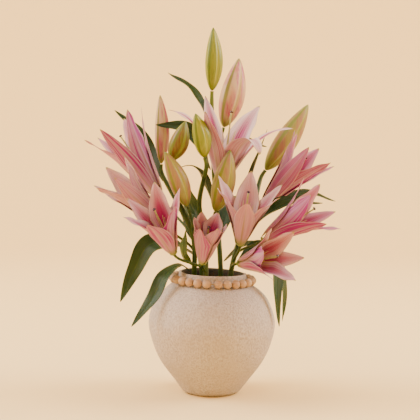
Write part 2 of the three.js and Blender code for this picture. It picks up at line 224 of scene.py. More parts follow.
def rodRings(line, radius, columns, ridges=0.0):
    # a rod: circles of the given radii across the line, with five low ridges, on side vectors that all
    # lean on one fixed guide direction, so that the rod never twists
    tangent = unit(np.gradient(line, axis=0))
    guide = np.array([1.0, 0.0, 0.0]) if abs(tangent[0][0]) < 0.8 else np.array([0.0, 1.0, 0.0])
    side = unit(guide - tangent * (tangent @ guide)[:, None])
    other = np.cross(tangent, side)
    a = fullTurn(columns)
    wide = np.asarray(radius).reshape(-1, 1) * (1 + ridges * np.cos(5 * a))
    return line[:, None] + around(side[:, None], other[:, None], wide, a)


class Paint:
    # a material being built: each method adds one node and gives back its output
    def __init__(self, name, **finish):
        self.material = bpy.data.materials.new(name)
        self.material.use_nodes = True
        self.tree = self.material.node_tree
        self.shader = self.tree.nodes["Principled BSDF"]
        for socket, value in finish.items():
            self.shader.inputs[socket.replace("_", " ")].default_value = value

    def add(self, kind, **values):
        node = self.tree.nodes.new(kind)
        for key, value in values.items():
            setattr(node, key, value)
        return node

    def feed(self, socket, value):
        if hasattr(value, "links"):
            self.tree.links.new(value, socket)
        else:
            socket.default_value = value

    def calc(self, operation, a, b=0.0):
        node = self.add("ShaderNodeMath", operation=operation)
        self.feed(node.inputs[0], a)
        self.feed(node.inputs[1], b)
        return node.outputs[0]

    def blend(self, share, first, second):
        node = self.add("ShaderNodeMix", data_type="RGBA")
        self.feed(node.inputs[0], share)
        self.feed(node.inputs[6], first)
        self.feed(node.inputs[7], second)
        return node.outputs[2]

    def between(self, share, first, second):
        # first + share * (second - first), for numbers
        node = self.add("ShaderNodeMix", data_type="FLOAT")
        self.feed(node.inputs[0], share)
        self.feed(node.inputs[2], first)
        self.feed(node.inputs[3], second)
        return node.outputs[0]

    def fact(self, name):
        return self.add("ShaderNodeAttribute", attribute_name=name).outputs["Fac"]

    def ramp(self, share, *stops):
        # stops: share at the start and end, value at the start and end, with a soft step between them
        node = self.add("ShaderNodeMapRange", interpolation_type="SMOOTHSTEP")
        self.feed(node.inputs["Value"], share)
        for key, value in zip(("From Min", "From Max", "To Min", "To Max"), stops):
            node.inputs[key].default_value = value
        return node.outputs[0]

    def product(self, *factors):
        total = factors[0]
        for factor in factors[1:]:
            total = self.calc("MULTIPLY", total, factor)
        return total

    def fromMiddle(self, across):
        # 0 on the middle line of a blade and 1 on both edges: |2 across - 1|
        return self.calc("ABSOLUTE", self.calc("SUBTRACT", self.product(across, 2.0), 1.0))

    def shape(self):
        # the piece's own across and along, 0 to 1, and both as one vector
        uv = self.add("ShaderNodeUVMap", uv_map="shape")
        split = self.add("ShaderNodeSeparateXYZ")
        self.tree.links.new(uv.outputs[0], split.inputs[0])
        return split.outputs[0], split.outputs[1], uv.outputs[0]

    def place(self):
        return self.add("ShaderNodeTexCoord").outputs["Object"]

    def stretched(self, source, scale):
        node = self.add("ShaderNodeMapping")
        self.tree.links.new(source, node.inputs["Vector"])
        node.inputs["Scale"].default_value = scale
        return node.outputs[0]

    def noise(self, source, scale, detail=4.0, roughness=0.5):
        node = self.add("ShaderNodeTexNoise")
        self.tree.links.new(source, node.inputs["Vector"])
        node.inputs["Scale"].default_value = scale
        node.inputs["Detail"].default_value = detail
        node.inputs["Roughness"].default_value = roughness
        return node.outputs[0]

    def bump(self, height, strength, distance, under=None):
        node = self.add("ShaderNodeBump")
        node.inputs["Strength"].default_value = strength
        node.inputs["Distance"].default_value = distance
        self.tree.links.new(height, node.inputs["Height"])
        if under is not None:
            self.tree.links.new(under, node.inputs["Normal"])
        self.tree.links.new(node.outputs[0], self.shader.inputs["Normal"])
        return node.outputs[0]

    def color(self, value):
        self.feed(self.shader.inputs["Base Color"], value)
        return self.material


def rgb(r, g, b):
    return (r, g, b, 1.0)


tepalTints = {
    "vein": (0.32, 0.075, 0.15), "throat": (0.34, 0.30, 0.14), "rib": (0.20, 0.21, 0.03),
    "base": (0.22, 0.24, 0.035), "edge": (0.62, 0.42, 0.24), "tip": (0.28, 0.25, 0.05),
    "outerRose": ((0.20, 0.003, 0.10), (0.31, 0.016, 0.20)),
    "innerRose": ((0.24, 0.004, 0.07), (0.36, 0.02, 0.13)),
}


def tepalPaint(name, deep, pale, ribGreen):
    # inside: rose along the middle fading to a pale edge; outside: cream with rose streaks either side
    # of a green rib; a thin honey-coloured line on the very edge, partly the tepal's own edge colour and
    # partly painted light that offsets the shade on the thin edges; and fine lengthwise veins all over
    p = Paint(name, Roughness=0.45, Subsurface_Weight=0.06, Subsurface_Scale=0.002, Specular_IOR_Level=0.22)
    p.shader.inputs["Subsurface Radius"].default_value = (1.0, 0.4, 0.35)
    tint = {key: rgb(*value) for key, value in tepalTints.items() if len(value) == 3}
    across, along, _ = p.shape()
    q = p.fromMiddle(across)
    inner, tone = p.fact("inner"), p.fact("tone")
    outer = p.calc("SUBTRACT", 1.0, inner)
    # each tepal reads its own part of the noise, moved over by its tone
    cloud = p.add("ShaderNodeCombineXYZ")
    p.feed(cloud.inputs[0], p.calc("ADD", across, p.product(tone, 7.0)))
    p.feed(cloud.inputs[1], along)
    veins = p.noise(p.stretched(cloud.outputs[0], (44, 1.3, 1)), 1.0, 4.0, 0.6)
    streaks = p.noise(p.stretched(cloud.outputs[0], (11, 0.9, 1)), 1.0, 3.0, 0.55)
    # how much rose there is inside: most on the middle line and towards the throat
    inside = p.product(
        p.ramp(q, 0.80, 0.20, 0.0, 1.0), p.ramp(along, 1.02, 0.5, 0.3, 1.0),
        p.ramp(veins, 0.3, 0.62, 0.62, 1.08), p.product(p.between(tone, 0.72, 1.15), deep),
    )
    # and outside: in streaks on both flanks, away from the rib, the edge and the base
    outside = p.product(
        p.ramp(q, 0.04, 0.42, 0.25, 1.0), p.ramp(q, 1.0, 0.82, 0.35, 1.0),
        p.ramp(streaks, 0.40, 0.60, 0.12, 1.0), p.ramp(along, 0.10, 0.42, 0.25, 1.0),
        p.product(p.between(tone, 0.30, 1.0), deep),
    )
    share = p.calc("MINIMUM", p.between(inner, outside, inside), 1.0)
    # the inside is a little warmer and lighter than the outside
    ground = p.blend(inner, rgb(*pale), rgb(pale[0] * 1.16, pale[1] * 1.35, pale[2] * 1.05))
    ground = p.blend(p.ramp(veins, 0.40, 0.66, 0.0, 0.6), ground, tint["vein"])
    streak = p.ramp(streaks, 0.3, 0.7, 0.0, 1.0)
    roses = [p.blend(streak, *(rgb(*end) for end in tepalTints[key])) for key in ("outerRose", "innerRose")]
    body = p.blend(share, ground, p.blend(inner, *roses))
    body = p.blend(p.product(p.ramp(along, 0.14, 0.03, 0.0, 0.8), inner), body, tint["throat"])
    rib = p.product(p.ramp(q, 0.17, 0.03, 0.0, ribGreen), p.ramp(along, 0.95, 0.15, 0.25, 1.0), outer)
    body = p.blend(rib, body, tint["rib"])
    body = p.blend(p.product(p.ramp(along, 0.20, 0.02, 0.0, 0.85), outer), body, tint["base"])
    # the very edge: the tepal's own honey-coloured line, lightened as painted light against the shade on
    # the thin edges
    body = p.blend(p.ramp(q, 0.90, 0.985, 0.0, 0.5), body, tint["edge"])
    body = p.blend(p.ramp(along, 0.955, 0.995, 0.0, 0.85), body, tint["tip"])
    p.bump(veins, 0.35, 0.0006)
    return p.color(body)


def budPaint(name, rib, panel, blush, seam):
    # along each lobe a coloured rib, then a panel of two mottled colours, then a seam in the furrow
    p = Paint(name, Roughness=0.36, Subsurface_Weight=0.04, Subsurface_Scale=0.002, Specular_IOR_Level=0.3)
    lobe, along, _ = p.shape()
    rib, panel, blush, seam = (rgb(*tint) for tint in (rib, panel, blush, seam))
    stalkGreen = rgb(0.12, 0.16, 0.012)
    veins = p.noise(p.stretched(p.place(), (420, 420, 14)), 1.0, 4.0, 0.55)
    patches = p.noise(p.stretched(p.place(), (70, 70, 16)), 1.0, 3.0)
    body = p.blend(p.ramp(patches, 0.36, 0.6, 0.0, 1.0), panel, blush)
    body = p.blend(p.ramp(veins, 0.42, 0.66, 0.0, 0.45), body, seam)
    body = p.blend(p.ramp(lobe, 0.90, 0.99, 0.0, 0.9), body, rib)
    body = p.blend(p.ramp(lobe, 0.16, 0.02, 0.0, 0.95), body, seam)
    body = p.blend(p.ramp(along, 0.90, 0.99, 0.0, 0.8), body, rib)
    body = p.blend(p.ramp(along, 0.20, 0.0, 0.0, 0.85), body, stalkGreen)
    p.bump(veins, 0.3, 0.0006)
    return p.color(body)


def leafPaint(name, dark, light):
    # long parallel veins and a paler rib, with a soft gloss
    p = Paint(name, Roughness=0.36, Specular_IOR_Level=0.32)
    across, _, uv = p.shape()
    q = p.fromMiddle(across)
    lines = p.calc("SINE", p.product(q, 52.0))
    veins = p.noise(p.stretched(uv, (26, 1.2, 1)), 1.0, 4.0, 0.6)
    cloud = p.noise(p.place(), 30.0, 3.0)
    yellowed = rgb(light[0] * 1.5, light[1] * 1.2, light[2])
    paleRib = rgb(light[0] * 2.2, light[1] * 1.7, light[2] * 1.4)
    body = p.blend(p.ramp(veins, 0.32, 0.68, 0.0, 1.0), rgb(*dark), rgb(*light))
    body = p.blend(p.ramp(lines, 0.3, 1.0, 0.0, 0.4), body, rgb(*light))
    body = p.blend(p.ramp(cloud, 0.4, 0.72, 0.0, 0.4), body, yellowed)
    body = p.blend(p.ramp(q, 0.06, 0.0, 0.0, 0.7), body, paleRib)
    p.bump(lines, 0.35, 0.0005)
    return p.color(body)


def stemPaint():
    # green with fine lengthwise streaks and paler patches; lighter high up as painted light, and darker low
    # down near the vase's mouth as painted shade
    p = Paint("stemGreen", Roughness=0.42, Specular_IOR_Level=0.3)
    dark, green = rgb(0.018, 0.042, 0.004), rgb(0.045, 0.085, 0.010)
    patchGreen, paintedLightGreen = rgb(0.08, 0.115, 0.015), rgb(0.12, 0.165, 0.02)
    streak = p.noise(p.stretched(p.place(), (300, 300, 22)), 1.0, 4.0)
    patch = p.noise(p.place(), 24.0, 3.0)
    height = p.add("ShaderNodeSeparateXYZ")
    p.feed(height.inputs[0], p.place())
    body = p.blend(p.ramp(streak, 0.35, 0.65, 0.0, 1.0), dark, green)
    body = p.blend(p.ramp(patch, 0.45, 0.7, 0.0, 0.5), body, patchGreen)
    # painted light and shade: the green lightens with height, so the lower stems stay dark as painted shade
    body = p.blend(p.ramp(height.outputs[2], 0.34, 0.48, 0.0, 0.6), body, paintedLightGreen)
    p.bump(streak, 0.25, 0.0005)
    return p.color(body)


def plainPaint(name, first, second, scale, roughness):
    # two near colours mottled together
    p = Paint(name, Roughness=roughness, Subsurface_Weight=0.05, Subsurface_Scale=0.002)
    grain = p.noise(p.place(), scale, 3.0)
    p.bump(grain, 0.2, 0.0004)
    return p.color(p.blend(p.ramp(grain, 0.35, 0.65, 0.0, 1.0), rgb(*first), rgb(*second)))


def woodPaint():
    # pale beech: soft rings across the grain, fine pores, each bead a little different
    p = Paint("paleWood", Roughness=0.5, Subsurface_Weight=0.03, Subsurface_Scale=0.002)
    beech, brown = rgb(0.44, 0.28, 0.16), rgb(0.32, 0.18, 0.09)
    pore, bleached = rgb(0.24, 0.12, 0.05), rgb(0.52, 0.36, 0.23)
    rings = p.noise(p.stretched(p.place(), (120, 120, 520)), 1.0, 3.0, 0.6)
    pores = p.noise(p.stretched(p.place(), (500, 500, 2200)), 1.0, 2.0)
    body = p.blend(p.ramp(rings, 0.38, 0.66, 0.0, 1.0), beech, brown)
    body = p.blend(p.ramp(pores, 0.55, 0.75, 0.0, 0.35), body, pore)
    body = p.blend(p.between(p.fact("tone"), 0.0, 0.55), body, bleached)
    p.bump(pores, 0.15, 0.0003)
    return p.color(body)


def sandPaint():
    # matt cream clay with sand in it: coarse and fine bumps, warm specks, and painted shade inside the neck
    p = Paint("sandyClay", Roughness=0.95, Specular_IOR_Level=0.15)
    dull, cream, warm = rgb(0.40, 0.335, 0.29), rgb(0.56, 0.50, 0.45), rgb(0.47, 0.39, 0.33)
    speck, paintedShade = rgb(0.30, 0.235, 0.185), rgb(0.05, 0.045, 0.025)
    squeezed = p.stretched(p.place(), (1, 1, 0.62))
    coarse = p.noise(squeezed, 420.0, 3.0, 0.6)
    fine = p.noise(squeezed, 1100.0, 2.0, 0.6)
    broad = p.noise(p.place(), 16.0, 3.0)
    cells = p.add("ShaderNodeTexVoronoi", feature="F1")
    p.feed(cells.inputs["Vector"], squeezed)
    cells.inputs["Scale"].default_value = 520.0
    body = p.blend(p.ramp(coarse, 0.36, 0.62, 0.0, 1.0), dull, cream)
    body = p.blend(p.ramp(broad, 0.35, 0.7, 0.0, 0.4), body, warm)
    body = p.blend(p.ramp(fine, 0.60, 0.74, 0.0, 0.45), body, speck)
    # painted shade inside the neck: nearer the axis than the wall's middle, and high up
    where = p.add("ShaderNodeSeparateXYZ")
    p.feed(where.inputs[0], p.place())
    flat = p.add("ShaderNodeCombineXYZ")
    p.feed(flat.inputs[0], where.outputs[0])
    p.feed(flat.inputs[1], where.outputs[1])
    out = p.add("ShaderNodeVectorMath", operation="LENGTH")
    p.feed(out.inputs[0], flat.outputs[0])
    near = p.ramp(out.outputs["Value"], 0.0505, 0.0485, 0.0, 0.9)
    high = p.ramp(where.outputs[2], 0.15, 0.17, 0.0, 1.0)
    body = p.blend(p.product(near, high), body, paintedShade)
    grains = p.calc("SUBTRACT", coarse, p.product(cells.outputs["Distance"], 0.4))
    first = p.bump(grains, 0.95, 0.0020)
    p.bump(fine, 0.5, 0.0007, first)
    return p.color(body)


tepalPaints = {
    "pale": tepalPaint("paleTepal", deep=0.75, pale=(0.50, 0.31, 0.38), ribGreen=0.45),
    "rosy": tepalPaint("rosyTepal", deep=1.1, pale=(0.48, 0.28, 0.39), ribGreen=0.4),
    "deep": tepalPaint("deepTepal", deep=1.45, pale=(0.43, 0.20, 0.34), ribGreen=0.3),
    "vivid": tepalPaint("vividTepal", deep=1.35, pale=(0.58, 0.40, 0.50), ribGreen=0.35),
}
print("petal paints ready")


vaseFacts = {
    "foot": 43, "belly": 100, "neck": 54, "wall": 6, "floor": 8, "lipInset": 0.8, "lipRise": 2.5,
    "turns": 160, "waver": 0.35, "rimWaver": 0.4, "tilt": 0.035,
}
# the outline's shares of the way from foot to belly, and from neck to belly, with shares of the height
lowerWall = ((0, 0), (0.26, 0.1), (0.67, 0.27), (0.91, 0.44), (1, 0.6))
upperWall = ((0.76, 0.77), (0.34, 0.88), (0.04, 0.92), (0, 0.96))


def vaseOutline(steps):
    # the CAD outline: a spline through shares of foot, belly, neck and height, rounded at foot and lip
    f, height = vaseFacts, rimHeight / mm
    points = [(f["foot"] + share * (f["belly"] - f["foot"]), 0, up * height) for share, up in lowerWall]
    points += [(f["neck"] + share * (f["belly"] - f["neck"]), 0, up * height) for share, up in upperWall]
    points.append((f["neck"] - f["lipInset"], 0, height - f["lipRise"]))
    return evenly(plainSpline(np.array(points, float), 400), steps)[:, [0, 2]]


def plainSpline(points, steps):
    # uniform Catmull-Rom: tangents are half the step between the neighbours
    p = np.vstack([points[0], points, points[-1]])
    i, w = spanOf(len(points) - 1, steps)
    a, b, c, d = p[i], p[i + 1], p[i + 2], p[i + 3]
    return hermite(b, c, (c - a) / 2, (d - b) / 2, w)


def buildVase():
    f = vaseFacts
    outer = vaseOutline(90)
    tangent = unit(np.gradient(outer, axis=0))
    inner = outer + f["wall"] * np.stack([-tangent[:, 1], tangent[:, 0]], 1)
    inner = inner[inner[:, 1] > f["floor"] + 3][::-1]
    height, half = rimHeight / mm, f["wall"] / 2
    a = np.linspace(0, math.pi, 12)[1:-1]
    lip = f["neck"] - f["lipInset"] - half + half * np.cos(a)
    rim = np.stack([lip, height - f["lipRise"] + f["lipRise"] * np.sin(a)], 1)
    # the foot's underside is flat, with a small round corner; the floor inside dips to the middle
    corner = [(f["foot"] - inset, rise) for inset, rise in ((3, 0), (2.6, 1.6), (0.8, 2.2))]
    foot = np.array([(1, 0), (f["foot"] * 0.6, 0), *corner])
    floor = np.array([
        (f["foot"] - f["wall"] - 4, f["floor"] + 0.5), (f["foot"] * 0.5, f["floor"]), (1, f["floor"]),
    ])
    profile = np.vstack([foot, outer[outer[:, 1] > 3], rim, inner, floor]) * mm
    turn = fullTurn(f["turns"])
    r, z = profile[:, :1], profile[:, 1:]
    # hand-made: the wall wavers slowly round and up, and the lip is not quite level
    waver = f["waver"] * mm * (np.sin(3 * turn + 40 * z) + 0.7 * np.sin(5 * turn - 65 * z + 1.3))
    high = smooth(z, 0.8 * rimHeight, 0.95 * rimHeight)
    wavy = r + waver * smooth(z, 0, 0.03) * (1 - 0.6 * high)
    sunk = f["rimWaver"] * mm * (1 + np.sin(2 * turn + 0.6)) + f["tilt"] * r * np.cos(turn)
    settle(ringMesh("vase_body", upright(wavy, z - high * sunk, turn)), sandPaint(), "vase_body", "vase")


buildVase()
print("vase built")


beadFacts = {
    "count": 27, "radius": 6.8, "opening": 3, "clearance": 2, "hole": 1.5, "cord": 1.1, "pole": 0.16,
}


def buildBeads():
    f = beadFacts
    low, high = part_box("bead_string")
    height = (low[2] + high[2]) / 2
    tilt = vaseFacts["tilt"]
    ringRadius = (vaseFacts["neck"] + f["radius"] + f["clearance"]) * mm
    pitch = (360 - f["opening"]) / f["count"]
    wood = woodPaint()
    # a bead's outline: a ball with its two poles pressed in around the cord's hole
    t = np.linspace(f["pole"], math.pi - f["pole"], 20)
    ball = np.stack([np.sin(t), -np.cos(t)], 1) * f["radius"]
    hole = np.array([(f["hole"], ball[-1][1] - 0.3), (f["hole"], ball[0][1] + 0.3)])
    outline = np.vstack([ball, hole, ball[:1]])
    for i in range(f["count"]):
        angle = (-90 + f["opening"] / 2 + (i + 0.5) * pitch) * degree
        size = 1 + rng.uniform(-0.03, 0.01)
        lean = rng.uniform(-0.06, 0.06, 2)[0]
        r, x = outline[:, :1] * size * mm, outline[:, 1:] * size * mm
        along = unit([-math.sin(angle), math.cos(angle), lean])
        out = unit(np.cross(along, upAxis))
        middle = np.array([ringRadius * math.cos(angle), ringRadius * math.sin(angle), height])
        middle[2] -= tilt * middle[0]
        rings = middle + along * x[..., None] + around(out, np.cross(out, along), r, fullTurn(28))
        bead = closedTurn(f"bead_{i + 1:02d}", rings)
        setTone(bead.data, rng.uniform(0, 1))
        settle(bead, wood, "wooden_beads", "bead_string")
    # the cord: a ring with a small round section, tilted as the neck is
    a, b = fullTurn(160), fullTurn(8)
    middle = upright(ringRadius, height - tilt * ringRadius * np.cos(a), a)
    out = upright(1.0, 0.0, a)
    rings = middle[:, None] + around(out[:, None], upAxis, np.full((len(a), 1), f["cord"] * mm), b)
    cord = closedTurn("bead_cord", np.concatenate([rings, rings[:1]]))
    cordPaint = plainPaint("beadCord", (0.36, 0.28, 0.19), (0.28, 0.20, 0.13), 900.0, 0.8)
    settle(cord, cordPaint, "wooden_beads", "bead_string")


def closedTurn(name, rings):
    # rings whose last row repeats the first: joined end to end, with no caps
    verts = rings[:-1].reshape(-1, 3)
    quads = ringQuads(len(rings) - 1, rings.shape[1], closed=True)
    mesh = bpy.data.meshes.new(name)
    mesh.from_pydata(verts, [], quads if signedVolume(verts, quads) > 0 else quads[:, ::-1])
    mesh.shade_smooth()
    return linked(name, mesh)


buildBeads()
print("beads strung")


# each flower: where it sits, the point it looks at (x, y, height over the rim, mm), tepal length and
# half width, lean of the cup, flare of the tips, turn, sway of single tepals, and how deep its pink is
lilies = {
    "upper_left_lily": {
        "base": (-84, 28, 106), "aim": (-152, 38, 208), "length": 148, "width": 15,
        "lean": 11, "flare": 20, "turn": 10, "pink": "rosy", "sway": {},
    },
    "left_lily": {
        "base": (-77, -20, 66), "aim": (-154, -48, 146), "length": 124, "width": 15,
        "lean": 8, "flare": 16, "turn": 40, "pink": "pale", "sway": {},
    },
    "front_left_lily": {
        "base": (-60, -54, 27), "aim": (-90, -104, 102), "length": 112, "width": 17,
        "lean": 14, "flare": 24, "turn": 20, "pink": "rosy", "sway": {},
    },
    "front_lily": {
        "base": (-16, -44, 11), "aim": (-4, -88, 90), "length": 82, "width": 20,
        "lean": 16, "flare": -6, "turn": 0, "pink": "rosy", "sway": {},
    },
    "middle_lily": {
        "base": (42, -46, 40), "aim": (55, -84, 142), "length": 112, "width": 17,
        "lean": 17, "flare": 30, "turn": 27, "pink": "pale", "sway": {},
    },
    "top_lily": {
        "base": (12, 14, 128), "aim": (26, -6, 240), "length": 150, "width": 17,
        "lean": 22, "flare": 46, "turn": 0,
        "pink": "vivid", "sway": {0: 25, 120: -25, 180: 25, 240: -35, 300: 100},
    },
    "upper_right_lily": {
        "base": (78, 14, 96), "aim": (158, 4, 190), "length": 128, "width": 15,
        "lean": 11, "flare": 18, "turn": 15, "pink": "deep", "sway": {},
    },
    "right_lily": {
        "base": (76, -36, 46), "aim": (158, -64, 102), "length": 122, "width": 15,
        "lean": 11, "flare": 28, "turn": 50, "pink": "deep", "sway": {},
    },
    "lower_right_lily": {
        "base": (40, -48, 12), "aim": (98, -112, 32), "length": 106, "width": 16,
        "lean": 12, "flare": 26, "turn": 33, "pink": "rosy", "sway": {},
    },
}

tepalFacts = {
    "outerStart": (4.4, 1.8), "whorlStep": (2.2, 3.5), "wideAngle": 38, "thickness": 0.85, "flattest": 40,
    "widest": 0.92, "innerWidth": 1.28, "rows": 72, "columns": 44, "groove": 0.9, "roll": 1.4,
    "ruffle": {"outer": 0.7, "inner": 1.5},
    # the green heart of each whorl: radius, where it starts, height
    "heart": {"outer": (6.4, 0, 4.2), "inner": (4.2, 4.55, 3.7)},
}


def tepalSpine(lily, start, sway):
    # from its start the tepal's line climbs at lean + (wide - lean) e^(-s/0.08) + flare s^2 from the
    # flower's axis, with the sway added over its last part; radius and height are running sums
    f = tepalFacts
    s = np.linspace(0, 1, 61)
    late = np.maximum(0, (s - 0.4) / 0.6)
    angle = lily["lean"] + (f["wideAngle"] - lily["lean"]) * np.exp(-s / 0.08)
    angle = (angle + lily["flare"] * s**2 + sway * late**2) * degree
    step = lily["length"] / 60
    radius = start[0] + np.concatenate([[0], np.cumsum(step * np.sin(angle))[:-1]])
    height = start[1] + np.concatenate([[0], np.cumsum(step * np.cos(angle))[:-1]])
    return s, radius, height, angle


def tepalRings(lily, start, width, sway, azimuth, ruffle, phase):
    f = tepalFacts
    s0, radius, height, angle = tepalSpine(lily, start, sway)
    s = np.linspace(0.004, 0.997, f["rows"])
    radius, height, angle = (np.interp(s, s0, v) for v in (radius, height, angle))
    bend = np.minimum(radius / np.maximum(np.cos(angle), 0.3), f["flattest"])
    # half width: width * sin(pi s^0.85)^0.74 drawn in towards the tip, never more than the arc allows
    lance = width * np.sin(math.pi * s**0.85) ** 0.74 * (1 - 0.14 * smooth(s, 0.45, 0.95))
    halfWidth = np.minimum(lance, f["widest"] * bend)
    thickness = f["thickness"] * np.minimum(1, halfWidth / 3) * (1.15 - 0.5 * s)
    out = np.array([math.cos(azimuth), math.sin(azimuth), 0])
    middle = out * radius[:, None] + upAxis * height[:, None]
    side = np.tile([-math.sin(azimuth), math.cos(azimuth), 0], (len(s), 1))
    inward = -out * np.cos(angle)[:, None] + upAxis * np.sin(angle)[:, None]

    def lift(q):
        # a groove along the rib, edges that wave and roll back a little towards the tip
        at, far = s[:, None], np.abs(q)
        groove = f["groove"] * np.exp(-((q / 0.1) ** 2)) * smooth(at, 0.05, 0.3) * (1 - at) ** 0.5
        wave = ruffle * far**3 * np.sin(2 * math.pi * (3.3 * at + 0.23 * np.sign(q)) + phase)
        roll = f["roll"] * far**4 * smooth(at, 0.45, 0.95) * (halfWidth / width)[:, None]
        return (wave * smooth(at, 0.3, 0.75) - groove - roll) * np.minimum(1, halfWidth / 5)[:, None]

    return lensRings(middle, side, inward, halfWidth, bend, thickness, f["columns"], lift)


def placed(rings, matrix, seat):
    # millimetres on a flower's own axis as a place in metres
    return rings @ matrix.T * mm + seat


def knobRings(radius, bottom, height, rows=14, columns=20):
    # an upright ball, squashed or stretched to its height
    t = np.linspace(0.05, math.pi - 0.05, rows)[:, None]
    return upright(radius * np.sin(t), bottom + height / 2 * (1 - np.cos(t)), fullTurn(columns))


def buildLily(name, lily, paints):
    f = tepalFacts
    seat, aim = aboveRim(lily["base"]), aboveRim(lily["aim"])
    matrix = turnTo(aim - seat, lily["turn"] * degree)
    first = f["outerStart"]
    second = (first[0] - f["whorlStep"][0], first[1] + f["whorlStep"][1])
    for whorl, start, widen, turn in (("outer", first, 1.0, 0), ("inner", second, f["innerWidth"], 60)):
        node, slot = f"{name}_{whorl}_tepals", f"{whorl}_tepals"
        for k in range(3):
            azimuth = turn + 120 * k
            rings, across, side = tepalRings(
                lily, start, widen * lily["width"], lily["sway"].get(azimuth, 0), azimuth * degree,
                ruffle=f["ruffle"][whorl], phase=rng.uniform(0, 6.28),
            )
            place = placed(rings, matrix, seat)
            piece = ringMesh(f"{node}_{k + 1}", place, across, side, rng.uniform(0, 1))
            settle(piece, paints["tepal"][lily["pink"]], slot, node)
        heart = placed(knobRings(*f["heart"][whorl]), matrix, seat)
        settle(ringMesh(f"{node}_heart", heart), paints["green"], slot, node)
    buildPistil(name, lily, matrix, seat, paints)


pistilFacts = {
    "bottom": 8.6, "reach": 0.74, "ovary": (2.6, 12), "bow": 1.6, "style": 1.3, "stigma": 3.0,
    "filamentReach": 0.58, "filament": 0.75, "filamentEnd": 8,
}


def buildPistil(name, lily, matrix, seat, paints):
    # ovary, style with a three-lobed stigma, and six bare filaments bowed outwards
    f = pistilFacts
    node, slot = f"{name}_pistil_and_stamens", "pistil_and_stamens"

    def add(part, rings, paint):
        settle(ringMesh(f"{node}_{part}", placed(rings, matrix, seat)), paints[paint], slot, node)

    bottom = f["bottom"]
    top = bottom + f["reach"] * lily["length"]
    radius, height = f["ovary"]
    add("ovary", knobRings(radius, bottom, height), "green")
    # the style bows sideways by bow * sin(pi t)^2 and is thinnest halfway up
    t = np.linspace(0, 1, 20)
    line = np.stack([f["bow"] * np.sin(math.pi * t) ** 2, 0 * t, bottom + 6 + (top - bottom - 6.5) * t], 1)
    add("style", rodRings(line, f["style"] - 0.3 * np.sin(math.pi * t), 12), "style")
    # the stigma is a flattened ball, narrower between its three lobes
    a = fullTurn(36)
    p = np.linspace(0.05, math.pi - 0.05, 16)[:, None]
    r = f["stigma"] * np.sin(p) * (1 - 0.3 * (0.5 - 0.5 * np.cos(3 * a)))
    z = top - 1.6 * np.cos(p) - 0.5 * np.sin(p) ** 2 * np.cos(3 * a)
    add("stigma", upright(r, z, a), "stigma")
    # each filament is a quadratic Bezier: (1-t)^2 p0 + 2(1-t) t p1 + t^2 p2
    reach = f["filamentReach"] * lily["length"]
    spread = (1.2, 2.7, f["filamentEnd"] + 0.1 * lily["flare"])
    for k in range(6):
        azimuth = (60 * k + 30) * degree
        out = np.array([math.cos(azimuth), math.sin(azimuth), 0])
        heights = (bottom + 2.5, bottom + reach / 2, bottom + reach * rng.uniform(0.94, 1.0))
        p0, p1, p2 = (out * wide + upAxis * h for wide, h in zip(spread, heights))
        w = t[:, None]
        line = (1 - w) ** 2 * p0 + 2 * (1 - w) * w * p1 + w**2 * p2
        add(f"filament_{k + 1}", rodRings(line, f["filament"] - 0.4 * t**2, 8), "filament")


flowerPaints = {
    "tepal": tepalPaints,
    "green": plainPaint("heartGreen", (0.20, 0.26, 0.05), (0.28, 0.32, 0.08), 260.0, 0.45),
    "style": plainPaint("styleGreen", (0.30, 0.34, 0.08), (0.38, 0.38, 0.13), 300.0, 0.4),
    "filament": plainPaint("filamentPale", (0.42, 0.42, 0.13), (0.48, 0.36, 0.18), 300.0, 0.4),
    "stigma": plainPaint("stigmaPlum", (0.016, 0.004, 0.012), (0.04, 0.008, 0.025), 500.0, 0.25),
}
for flower, facts in lilies.items():
    buildLily(flower, facts, flowerPaints)
print("lilies built:", len(lilies))


# each bud: where it sits and where its tip is (x, y, height over the rim, mm), radius, colour and slot
buds = {
    "top_bud": {
        "base": (-4, 66, 277), "tip": (-3, 68, 379), "radius": 15.5,
        "tint": "green", "slot": "green_bud",
    },
    "striped_bud": {
        "base": (16, 92, 218), "tip": (40, 104, 331), "radius": 22, "tint": "pink", "slot": "pink_bud",
    },
    "slim_bud": {
        "base": (-14, -54, 175), "tip": (-29, -66, 243), "radius": 15,
        "tint": "green", "slot": "green_bud",
    },
    "left_bud": {
        "base": (-67, -25, 168), "tip": (-44, -30, 230), "radius": 16,
        "tint": "brownGreen", "slot": "green_bud",
    },
    "low_left_bud": {
        "base": (-40, -45, 99), "tip": (-75, -60, 184), "radius": 16.5,
        "tint": "blushGreen", "slot": "green_bud",
    },
    "middle_bud": {
        "base": (3, -28, 90), "tip": (25, -36, 187), "radius": 19,
        "tint": "blushGreen", "slot": "pink_bud",
    },
    "right_bud": {
        "base": (84, 66, 150), "tip": (153, 84, 257), "radius": 20,
        "tint": "blushGreen", "slot": "green_bud",
    },
    "back_left_bud": {
        "base": (-85, 72, 158), "tip": (-88, 78, 270), "radius": 13, "tint": "pink", "slot": "pink_bud",
    },
}


budFacts = {
    "rows": 64, "columns": 96, "lobe": 0.07, "furrow": (0.075, 0.06), "rib": (0.02, 0.05),
    "twist": 0.12, "bow": 1.5,
}


def budCut(turns, cut):
    # a narrow dip, depth * e^(-(d/width)^2), where d is how far turns is from the middle of its third
    depth, width = cut
    return depth * np.exp(-(((np.mod(turns, 1) - 0.5) / width) ** 2))


